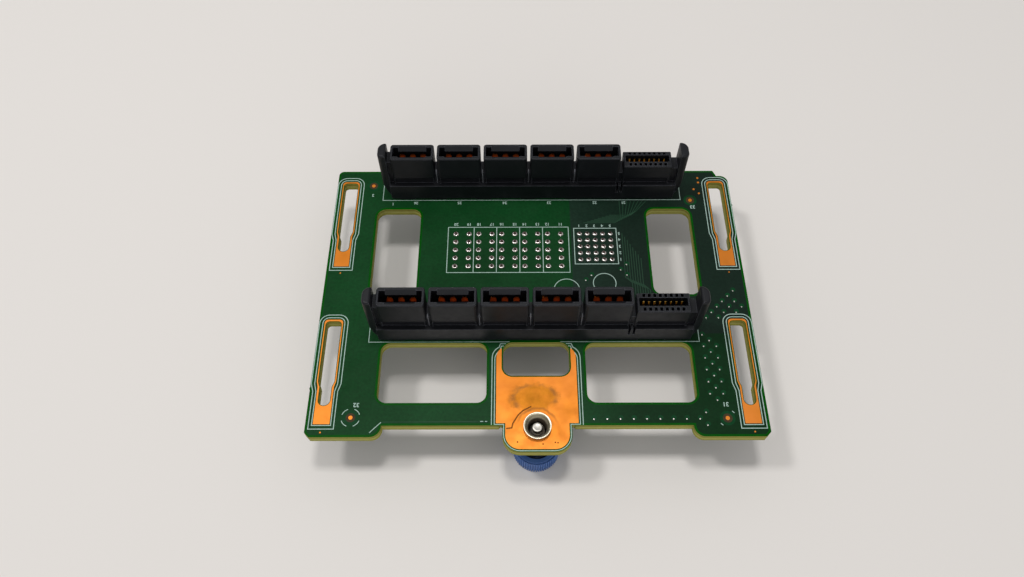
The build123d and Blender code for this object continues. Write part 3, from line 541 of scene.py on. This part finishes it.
def slotOutline(cx, shift, wide, narrow, bottom, top, corner):
    bottom, top = bottom + shift, top + shift
    high, low = printSettings["stepHigh"] + shift, printSettings["stepLow"] + shift
    left = [(cx - narrow, bottom), (cx - narrow, low), (cx - wide, high)]
    right = [(cx + wide, high), (cx + narrow, low), (cx + narrow, bottom)]
    return (left + arc(cx - wide + corner, top - corner, corner, 180, 90)
            + arc(cx + wide - corner, top - corner, corner, 90, 0) + right)


def tabOutlines():   # the outer line's right half and the inner line's right half, from the rear
    outer = ([(10.45, -35.25), (10.45, -18.3)] + arc(7.35, -18.3, 3.1, 0, 62, 6)
             + [(8.5, -14.65), (7.2, -14.65)])
    inner = ([(7.7, -15.25), (8.3, -15.3)] + arc(7.2, -18.7, 2.6, 0, 58, 6)[::-1]
             + [(9.8, -35.12), (7.64, -35.12), (7.64, -37.6)] + arc(3.9, -37.6, 3.75, 0, -90, 8)[1:])
    return outer, inner


def box(left, right, low, high):
    return [(left, low), (right, low), (right, high), (left, high)]


def printedLines():
    s = printSettings
    shape = bmesh.new()
    for cx in (-boardPlan["slotX"], boardPlan["slotX"]):
        for shift in (0, -boardPlan["baySpacing"]):
            for outline in s["slots"]:
                addStroke(shape, slotOutline(cx, shift, *outline), s["line"], closed=True)
    left, right = s["socketX"]
    addStroke(shape, box(left, right, s["socketFront"], s["socketRear"]), s["fine"], closed=True)
    front, rear = s["socketFront"] - boardPlan["baySpacing"], s["socketRear"] - boardPlan["baySpacing"]
    breakLeft, breakRight = s["frontBreak"]
    addStroke(shape, [(breakLeft, front), (left, front), (left, rear), (right, rear), (right, front),
                      (breakRight, front)], s["fine"])
    addStroke(shape, box(*s["powerBox"]), s["line"], closed=True)
    for x in s["powerDividers"]:
        addStroke(shape, [(x, s["powerBox"][2]), (x, s["powerBox"][3])], s["line"])
    addStroke(shape, box(*s["signalBox"]), s["line"], closed=True)
    outer, inner = tabOutlines()
    for side in (-1, 1):
        addStroke(shape, [(side * x, y) for x, y in outer], s["line"])
    addStroke(shape, inner + [(-x, y) for x, y in inner[::-1]], s["line"])
    for circle in s["rings"]:
        addStroke(shape, arc(*circle, 0, 355, 36), s["line"], closed=True)
    for arcs in (s["leftArcs"], s["rightArcs"]):   # broken circles round the front fiducials
        for first in arcs["starts"]:
            addStroke(shape, arc(*arcs["circle"], first, first + arcs["sweep"], arcs["steps"]), s["fine"])
    for dash in s["dashes"]:
        addStroke(shape, dash, s["fine"])
    return shape


addPiece("print_lines", printedLines(), printInk)

# plain numbers, read from the rear edge as on the real board
numberSettings = {
    "small": 1.15, "label": 1.45, "stroke": 0.03, "low": 0.02, "rise": 0.015,
    "blockX": (-31.3, -19.67, -7.62, 4.16, 16.33, 23.98), "blockY": 27.4,
    "columnX": (-20.3, -16.9, -14.3, -10.9, -8.35, -4.95, -2.4, 1.0, 3.55, 6.95), "columnY": 20.4,
    "pinX": (11.8, 13.8, 15.8, 17.85, 19.9), "pinY": (17.4, 15.5, 13.4, 11.4, 9.4), "besidePins": (22.1, 19.85),
    "single": ((1, -37.4, 27.1), (2, -43.0, 30.0)),
    "corner": ((31, 43.4, -30.3), (32, -41.6, -30.3), (33, 42.3, 25.9)),
}


def addNumber(shape, text, size, x, y):
    letters = bpy.data.curves.new("number", "FONT")
    letters.body = str(text)
    letters.size = size
    letters.align_x = "CENTER"
    letters.align_y = "CENTER"
    letters.offset = numberSettings["stroke"]
    letters.extrude = numberSettings["rise"]
    letters.resolution_u = 3
    turn = Matrix.Translation((x, y, numberSettings["low"])) @ Matrix.Rotation(math.pi, 4, "Z")
    addMesh(shape, bpy.data.objects.new("number", letters), boardTop @ turn)


def printedNumbers():
    s = numberSettings
    shape = bmesh.new()
    besideX, besideY = s["besidePins"]
    for i, x in enumerate(s["blockX"]):
        addNumber(shape, 26 - i, s["small"], x, s["blockY"])
    for i, x in enumerate(s["columnX"]):
        addNumber(shape, 20 - i, s["small"], x, s["columnY"])
    for i, x in enumerate(s["pinX"]):
        addNumber(shape, i + 1, s["small"], x, besideY)
    for i, y in enumerate(s["pinY"]):
        addNumber(shape, 5 - i, s["small"], besideX, y)
    for size, labels in ((s["small"], s["single"]), (s["label"], s["corner"])):
        for text, x, y in labels:
            addNumber(shape, text, size, x, y)
    return shape


addPiece("print_numbers", printedNumbers(), printInk)
print("print made")

# vias with their halos, test dots and fiducials: places, and caps as (radius, thickness, steps)
dotSettings = {
    "viaRows": [(12.92, -33.89, 3.024, 0, 9), (40.13, -12.38, 0, -3.074, 6),   # first place, step and count
                (41.66, -13.91, 0, -3.08, 6), (43.18, -15.47, 0, -3.065, 5)],
    "vias": [(38.63, -32.33), (38.66, -35.42), (41.70, -7.7), (44.71, -7.7), (43.19, -6.2), (46.22, -6.2),
             (49.27, -6.2), (44.70, -4.62), (47.74, -4.63), (50.83, -4.64), (46.19, -3.1), (49.24, -3.1),
             (47.73, -1.57), (49.27, -0.05), (14.34, 4.58), (12.84, 3.1), (23.37, 7.76), (21.81, 6.15),
             (23.3, 4.65)],
    "tests": [(44.72, 35.59), (44.73, 34.05), (44.54, 30.37), (43.27, 31.77)],
    "fiducials": [(-43.05, 33.14), (41.87, 28.07), (-42.63, -33.43), (43.4, -33.71)],
    "slotDotY": 5.45, "haloShift": (0.12, 0.35),   # a via's halo lies behind its lit cap
    "halo": (0.6, 0.03, 20), "cap": (0.18, 0.06), "rim": (1.75, 0.03, 36), "well": (1.1, 0.04, 28),
    "fiducial": (0.5, 0.06, 20), "test": (0.3, 0.05), "slotDot": (0.2, 0.05), "soft": 0.3, "low": 0.005,
}


def topPlaces(points):
    return [boardTop @ Matrix.Translation((x, y, 0)) for x, y in points]


def disc(radius, thickness, steps=16):   # a low round cap with a soft edge, standing on the board
    soft, low = dotSettings["soft"], dotSettings["low"]
    return turned([(0, low), (radius, low), (radius, thickness * (1 - soft)),
                   (radius - thickness * soft, thickness), (0, thickness)], steps)


def addDots(name, parts, material):
    shape = bmesh.new()
    for cap, points in parts:
        addCopies(shape, disc(*cap), topPlaces(points))
    addPiece(name, shape, material)


def addAllDots():
    s = dotSettings
    vias = [(x + stepX * k, y + stepY * k) for x, y, stepX, stepY, count in s["viaRows"] for k in range(count)]
    vias += s["vias"]
    shiftX, shiftY = s["haloShift"]
    halos = [(x + shiftX, y + shiftY) for x, y in vias]
    slotRows = (s["slotDotY"], s["slotDotY"] - boardPlan["baySpacing"])
    slotDots = [(side * boardPlan["slotX"], y) for side in (-1, 1) for y in slotRows]
    addDots("via_halos", [(s["halo"], halos), (s["rim"], s["fiducials"])], maskRim)
    # bright tin dots where each via's highlight falls, a painted highlight; the halos, shifted behind, are
    # centred on the vias
    addDots("via_highlight_caps", [(s["cap"], vias)], brightTin)
    addDots("fiducial_wells", [(s["well"], s["fiducials"])], bareLaminate)
    copperDots = [(s["fiducial"], s["fiducials"]), (s["test"], s["tests"]), (s["slotDot"], slotDots)]
    addDots("fiducial_dots", copperDots, landMaterial)


addAllDots()

# a dark scratch and four specks, thin stains on the tab's copper
stainSettings = {
    "width": 0.34, "low": 0.056, "rise": 0.004,
    "scratch": [(-1.32, -30.79), (-3.26, -31.82), (-4.32, -32.84), (-5.55, -34.87), (-5.81, -35.97),
                (-7.11, -36.15)],
    "specks": [(-4.53, -39.33), (3.97, -39.43), (4.57, -39.52), (1.22, -39.79)],
    "speck": (0.2, 0.01, 12), "speckLow": 0.05,
}


def landStains():
    s = stainSettings
    shape = bmesh.new()
    addStroke(shape, s["scratch"], s["width"], low=s["low"], rise=s["rise"])
    lift = Matrix.Translation((0, 0, s["speckLow"]))
    addCopies(shape, disc(*s["speck"]), [place @ lift for place in topPlaces(s["specks"])])
    return shape


addPiece("land_stains", landStains(), darkStain)

# traces of the signal field, under the mask
traceSettings = {
    "width": 0.2, "low": 0.018, "rise": 0.006, "count": 8,
    "single": [(-35.4, -34.5), (-13.4, -34.42)], "singleWidth": 0.12,
    # the first trace's points, and how far each point moves from one trace to the next
    "up": [(13.0, 20.8, 1.0, 0.35), (21.3, 20.8, 0.62, 0.35), (22.9, 22.2, 0.62, 0.35), (22.9, 27.9, 1.02, 0)],
    "down": [(22.9, 17.4, 0.62, -1.1), (22.9, 4.0, 0.62, -0.3), (24.5, 2.4, 0.62, -0.3), (24.5, -5.8, 0.62, 0)],
}


def signalTraces():
    s = traceSettings
    shape = bmesh.new()
    addStroke(shape, s["single"], s["singleWidth"], low=s["low"], rise=s["rise"])
    for i in range(s["count"]):
        for path in (s["up"], s["down"]):
            points = [(x + stepX * i, y + stepY * i) for x, y, stepX, stepY in path]
            addStroke(shape, points, s["width"], low=s["low"], rise=s["rise"])
    return shape


addPiece("signal_traces", signalTraces(), traceMask)
print("pads, vias and traces made")

# solder round the tails, on both faces: pin or tail radius, then land radius
solderSettings = {
    "steps": 18, "grid": (-2, -1, 0, 1, 2), "sides": (-1, 1), "powerBlocks": 5,
    "blades": (0.3, 0.76), "bladeX": -18.56, "bladeY": 12.33, "bladeBlock": 5.95, "bladeSide": 1.7,
    "bladePitch": 2.49,
    "pins": (0.25, 0.68), "pinX": 15.86, "pinY": 13.32, "pinPitch": 2.0,
    "powerTails": (0.42, 0.8), "powerX": -30.82, "beamPitch": 2.67, "powerSide": 1.285,
    "signalTails": (0.25, 0.48), "signalX": 29.5, "signalY": 0.15, "signalPitch": 1.27, "signalSide": 0.9,
}


def solderRing(pin, land):   # a rounded ring of solder between a pin and the edge of its land
    return turned([(pin, 0.005), (land, 0.005), (land - 0.01, 0.08), (land - 0.08, 0.2), (land - 0.19, 0.28),
                   (land - 0.32, 0.3), (pin, 0.24)], solderSettings["steps"], closed=True)


def solderCone(tail, land):   # solder that has risen round a tail
    return turned([(0, 0.01), (land, 0.01), (land - 0.05, 0.07), (tail + 0.12, 0.22), (tail, 0.5),
                   (tail * 0.6, 0.56), (0, 0.58)], solderSettings["steps"])


def addSolder():
    s = solderSettings
    socketX, socketY = boardPlan["socketX"], boardPlan["socketY"]
    grid, sides, blocks = s["grid"], s["sides"], range(s["powerBlocks"])
    columns = [s["bladeX"] + s["bladeBlock"] * block + side * s["bladeSide"]
               for block in blocks for side in sides]
    blades = [(x, s["bladeY"] + s["bladePitch"] * row) for x in columns for row in grid]
    pins = [(s["pinX"] + s["pinPitch"] * i, s["pinY"] + s["pinPitch"] * j) for i in grid for j in grid]
    top = bmesh.new()
    addCopies(top, solderRing(*s["blades"]), topPlaces(blades))
    addCopies(top, solderRing(*s["pins"]), topPlaces(pins))
    addPiece("top_solder_rings", top, brightTin)
    powerTails = [(socketX + s["powerX"] + boardPlan["blockPitch"] * block + s["beamPitch"] * beam,
                   y + side * s["powerSide"])
                  for block in blocks for beam in (-1, 0, 1) for side in sides for y in socketY]
    signalTails = [(socketX + s["signalX"] + s["signalPitch"] * (k - 3.5),
                    y + s["signalY"] + side * s["signalSide"])
                   for k in range(8) for side in sides for y in socketY]
    under = bmesh.new()
    downwards = boardUnder @ Matrix.Rotation(math.pi, 4, "X")
    for size, tails in ((s["powerTails"], powerTails), (s["signalTails"], signalTails)):
        addCopies(under, solderCone(*size), [downwards @ Matrix.Translation((x, -y, 0)) for x, y in tails])
    addPiece("under_solder_joints", under, brightTin)


addSolder()
print("solder made")

for place in ("rear", "front"):
    dress(socketPlastic, f"{place}_socket_housing")
    for row in ("front", "back"):
        dress(contactCopper, f"{place}_socket_power_contacts_{row}")
        dress(contactGold, f"{place}_socket_signal_contacts_{row}")
dress(linkPlastic, "link_housing")
dress(pinTin, "link_power_contacts_left", "link_power_contacts_right", "link_signal_pins")

# thin ribs in the gaps between the power blocks; their light grey is a painted highlight on the black moulding
gapRibSettings = {"firstX": -24.87, "count": 4, "wide": 0.26, "deep": 0.6, "low": 5.4, "high": 10.4,
                  "frontY": 2.32, "edge": 0.06}


def makeGapRibs():
    s = gapRibSettings
    shape = bmesh.new()
    size = Matrix.Diagonal((s["wide"], s["deep"], s["high"] - s["low"], 1))
    for i in range(s["count"]):
        for y in boardPlan["socketY"]:
            middle = Matrix.Translation((boardPlan["socketX"] + s["firstX"] + boardPlan["blockPitch"] * i,
                                         y - s["frontY"] + s["deep"] / 2, (s["low"] + s["high"]) / 2))
            bmesh.ops.create_cube(shape, size=1, matrix=middle @ size)
    bmesh.ops.bevel(shape, geom=shape.edges[:], offset=s["edge"], offset_type="OFFSET", affect="EDGES",
                    segments=2, profile=0.5, material=-1, clamp_overlap=True)
    shape.transform(boardTop)
    addPiece("gap_ribs", shape, ribHighlightPlastic)


makeGapRibs()
print("sockets dressed")

# captive screw: flared ferrule, threaded screw, spring and ribbed knob
ferruleSettings = {
    "barrel": 3.0, "barrelLow": 7.5, "neckBore": 1.35, "lip": 8.3, "bore": 2.15, "flange": 4.3,
    "flangeThick": 2.55, "body": 2.7, "board": 12.35, "top": 14.75, "foot": 2.85, "rim": 3.2, "rimTop": 16.25,
    "steps": 72,
    # outwards from the foot and up from the board's top
    "flare": [(0, 0.02), (0.03, 0.2), (0.1, 0.55), (0.19, 0.9), (0.29, 1.2)],
    # inwards from the rim and down from its top
    "rimRound": [(0, 0.13), (0, 0.07), (0.05, 0.01), (0.15, 0), (0.3, 0.03), (0.42, 0.14), (0.5, 0.36),
                 (0.62, 0.62)],
    # outwards from the bore and down from the rim's top
    "funnel": [(0.25, 1.05), (0.07, 1.3)],
    "landRing": (2.9, 3.42), "landTop": 14.806,
}


def makeFerrule():
    s = ferruleSettings
    under = s["board"] - s["flangeThick"]
    profile = [
        (s["neckBore"], s["barrelLow"] + 0.1), (s["neckBore"] + 0.1, s["barrelLow"]),
        (s["barrel"] - 0.2, s["barrelLow"]), (s["barrel"], s["barrelLow"] + 0.2),
        (s["barrel"], under - 0.1), (s["barrel"] + 0.1, under), (s["flange"] - 0.15, under),
        (s["flange"], under + 0.15), (s["flange"], s["board"] - 0.12), (s["flange"] - 0.1, s["board"]),
        (s["body"], s["board"]), (s["body"], s["top"]),
    ]
    profile += [(s["foot"] + out, s["top"] + up) for out, up in s["flare"]]
    profile += [(s["rim"] - inwards, s["rimTop"] - down) for inwards, down in s["rimRound"]]
    profile += [(s["bore"] + out, s["rimTop"] - down) for out, down in s["funnel"]]
    profile += [(s["bore"], s["top"] - 0.03), (s["bore"], s["lip"]), (s["neckBore"] + 0.05, s["lip"]),
                (s["neckBore"], s["lip"] - 0.05)]
    shape = turned(profile, s["steps"], closed=True)
    shape.transform(screwAxis)
    piece = addPiece("ferrule_turned", shape, ferrulePlate, sharpAt=40)
    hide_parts("screw_ferrule")
    # copper close round the flared foot
    inner, outer = s["landRing"]
    ring = turned([(inner, s["top"] + 0.01), (outer, s["top"] + 0.01), (outer, s["landTop"]),
                   (inner, s["landTop"])], s["steps"], closed=True)
    ring.transform(screwAxis)
    addPiece("ferrule_land_ring", ring, landMaterial)


makeFerrule()

screwSettings = {
    "root": 2.0, "rootLow": 0.4, "rootHigh": 2.0, "neck": 1.25, "shankLow": 8.4, "shankHigh": 13.75,
    "core": 1.42, "crest": 1.74, "pitch": 0.6, "toothSink": 0.12, "toothFoot": 0.24, "toothTop": 0.04,
    "threadLow": 0.25, "threadShort": 0.9, "tip": 1.15, "tipHigh": 15.05, "steps": 40, "stepsPerTurn": 28,
}


def makeScrew():
    s = screwSettings
    shape = turned([
        (0, s["rootLow"]), (s["root"] - 0.05, s["rootLow"]), (s["root"], s["rootLow"] + 0.05),
        (s["root"], s["rootHigh"] - 0.05), (s["root"] - 0.05, s["rootHigh"]), (s["neck"], s["rootHigh"]),
        (s["neck"], s["shankLow"]), (s["core"], s["shankLow"]), (s["core"], s["shankHigh"] - 0.2),
        (s["tip"], s["shankHigh"]), (s["tip"], s["tipHigh"] - 0.16), (s["tip"] - 0.06, s["tipHigh"] - 0.05),
        (s["tip"] - 0.18, s["tipHigh"]), (0.7, s["tipHigh"] - 0.02), (0.35, s["tipHigh"] - 0.06),
        (0, s["tipHigh"] - 0.07),
    ], s["steps"])
    # the thread: one tooth wound up the shank
    turns = (s["shankHigh"] - s["shankLow"] - s["threadShort"]) / s["pitch"]
    low, foot = s["shankLow"] + s["threadLow"], s["core"] - s["toothSink"]
    tooth = [(foot, low - s["toothFoot"]), (s["crest"], low - s["toothTop"]), (s["crest"], low + s["toothTop"]),
             (foot, low + s["toothFoot"])]
    verts = [shape.verts.new((radius, 0, height)) for radius, height in tooth]
    face = shape.faces.new(verts)
    bmesh.ops.spin(shape, geom=[face] + list(face.edges) + verts, cent=(0, 0, 0), axis=(0, 0, 1),
                   dvec=(0, 0, s["pitch"] / s["stepsPerTurn"]), angle=fullTurn * turns,
                   steps=round(s["stepsPerTurn"] * turns))
    bmesh.ops.recalc_face_normals(shape, faces=shape.faces)
    shape.transform(screwAxis)
    piece = addPiece("captive_screw_threaded", shape, zincScrew, "knob", sharpAt=30)
    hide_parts("captive_screw")


makeScrew()

springSettings = {"radius": 3.45, "wire": 0.22, "deadTurns": 1, "deadPitch": 1.02, "liveTurns": 3.5,
                  "stepsPerTurn": 32, "travel": 4.0}


def makeSpring():
    s = springSettings
    shape = bmesh.new()
    low = springLow.z / mm + s["wire"]
    high = springHigh.z / mm - s["wire"]
    upright = Matrix.Translation((s["radius"], 0, low)) @ Matrix.Rotation(math.pi / 2, 4, "X")
    start = bmesh.ops.create_circle(shape, cap_ends=True, radius=s["wire"], segments=10, matrix=upright)
    profile = start["verts"]
    closedPitch = 2 * s["wire"] * s["deadPitch"]
    openPitch = (high - low - 2 * s["deadTurns"] * closedPitch) / s["liveTurns"]
    dead, live = (s["deadTurns"], closedPitch), (s["liveTurns"], openPitch)
    for turns, pitch in (dead, live, dead):
        geom = list(profile) + [e for e in shape.edges if all(v in profile for v in e.verts)]
        geom += [f for f in shape.faces if all(v in profile for v in f.verts)]
        made = bmesh.ops.spin(shape, geom=geom, cent=(0, 0, 0), axis=(0, 0, 1),
                              dvec=(0, 0, pitch / s["stepsPerTurn"]), angle=fullTurn * turns,
                              steps=round(s["stepsPerTurn"] * turns))
        profile = [v for v in made["geom_last"] if isinstance(v, bmesh.types.BMVert)]
    bmesh.ops.remove_doubles(shape, verts=shape.verts, dist=0.0005)
    bmesh.ops.recalc_face_normals(shape, faces=shape.faces)
    shape.transform(screwAxis)
    piece = addPiece("wound_spring", shape, shadeDarkSpringSteel, "spring", sharpAt=50)
    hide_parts("screw_spring")
    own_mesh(piece)


makeSpring()

knobSettings = {"radius": 5.26, "height": 5.15, "bore": 4.0, "floor": 2.4, "grooveOut": 5.4, "grooveIn": 5.12,
                "grooveDeep": 0.5, "ribs": 60, "ribOut": 5.59, "ribWide": 0.3, "ribRound": 0.08, "steps": 120}


def makeKnob():
    s = knobSettings
    r, h, out = s["radius"], s["height"], s["ribOut"]
    groove = h - s["grooveDeep"]
    shape = turned([
        (0, 0), (r - 0.3, 0), (r - 0.08, 0.06), (r, 0.2), (r, groove), (s["grooveIn"], groove),
        (s["grooveIn"], h - 0.08), (s["grooveIn"] - 0.08, h), (s["bore"] + 0.15, h), (s["bore"], h - 0.15),
        (s["bore"], s["floor"]), (0, s["floor"]),
    ], s["steps"])
    # one rib, repeated round the wall
    rib = bmesh.new()
    outline = [(s["grooveOut"], h - 0.05), (out - 0.05, h - 0.05), (out, h - 0.16), (out, 0.2),
               (out - 0.08, 0.08), (r - 0.2, 0.08), (r - 0.2, groove - 0.1), (s["grooveOut"], groove - 0.1)]
    verts = [rib.verts.new((x, -s["ribWide"] / 2, z)) for x, z in outline]
    face = rib.faces.new(verts)
    made = bmesh.ops.extrude_face_region(rib, geom=[face])
    bmesh.ops.translate(rib, verts=[v for v in made["geom"] if isinstance(v, bmesh.types.BMVert)],
                        vec=(0, s["ribWide"], 0))
    bmesh.ops.recalc_face_normals(rib, faces=rib.faces)
    outer = [e for e in rib.edges if all(v.co.x > out - 0.02 for v in e.verts) and e.calc_face_angle(0) > 1.2]
    bmesh.ops.bevel(rib, geom=outer, offset=s["ribRound"], offset_type="OFFSET", affect="EDGES", segments=2,
                    profile=0.5, material=-1, clamp_overlap=True)
    addCopies(shape, rib, [Matrix.Rotation(fullTurn * i / s["ribs"], 4, "Z") for i in range(s["ribs"])])
    shape.transform(screwAxis)
    piece = addPiece("ribbed_knob", shape, knobPlastic, "knob", sharpAt=35)
    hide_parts("thumb_knob")


makeKnob()
print("captive screw made")

# floor, light and camera
stageSettings = {
    "floor": tone(226, 221, 216), "floorSize": 3, "floorZ": -0.05, "world": (0.98, 0.99, 1.0, 1),
    "worldLevel": 0.45, "aim": (0, 0, 0),
    "lamps": {"overhead": ((0, 0.125, 1.0), 0.14, 2.7), "left": ((-0.5, 0.112, 0.9), 0.13, 2.6),
              "front": ((0.15, -1.0, 0.4), 0.8, 2.0)},   # place, size and power
}


def makeStage():
    s = stageSettings
    shape = bmesh.new()
    bmesh.ops.create_grid(shape, x_segments=1, y_segments=1, size=s["floorSize"],
                          matrix=Matrix.Translation((0, 0, s["floorZ"] * mm)))
    mesh = bpy.data.meshes.new("floor")
    shape.to_mesh(mesh)
    shape.free()
    paleFloor = newMaterial("paleFloor", Base_Color=s["floor"], Roughness=0.8, Specular_IOR_Level=0.2)[0]
    mesh.materials.append(paleFloor)
    floor = bpy.data.objects.new("floor", mesh)
    scene.collection.objects.link(floor)
    world = bpy.data.worlds.new("studio")
    world.use_nodes = True
    scene.world = world
    background = world.node_tree.nodes["Background"]
    background.inputs["Color"].default_value = s["world"]
    background.inputs["Strength"].default_value = s["worldLevel"]


def addLamp(name, place, size, power):
    lamp = bpy.data.lights.new(name, "AREA")
    lamp.shape = "SQUARE"
    lamp.size = size
    lamp.energy = power
    holder = bpy.data.objects.new(name, lamp)
    scene.collection.objects.link(holder)
    holder.location = place
    holder.rotation_mode = "QUATERNION"
    holder.rotation_quaternion = (Vector(stageSettings["aim"]) - Vector(place)).to_track_quat("-Z", "Y")


makeStage()
for name, (place, size, power) in stageSettings["lamps"].items():
    addLamp(name, place, size, power)

cameraSettings = {"place": (-5.317, -99.95, 187.001), "right": (1.0, -0.001133, -0.002979),
                  "up": (0.002497, 0.8594, 0.5113), "back": (0.00198, -0.5113, 0.8594), "lens": 28.19,
                  "sensor": 36, "near": 0.01}


def makeCamera():
    s = cameraSettings
    data = bpy.data.cameras.new("camera")
    data.sensor_width = s["sensor"]
    data.lens = s["lens"]
    data.clip_start = s["near"]
    camera = bpy.data.objects.new("camera", data)
    scene.collection.objects.link(camera)
    axes = Matrix((s["right"], s["up"], s["back"])).transposed()
    camera.rotation_mode = "QUATERNION"
    camera.rotation_quaternion = axes.to_quaternion()
    camera.location = Vector(s["place"]) * mm
    scene.camera = camera


makeCamera()
scene.view_settings.view_transform = "Standard"
print("stage and camera set")
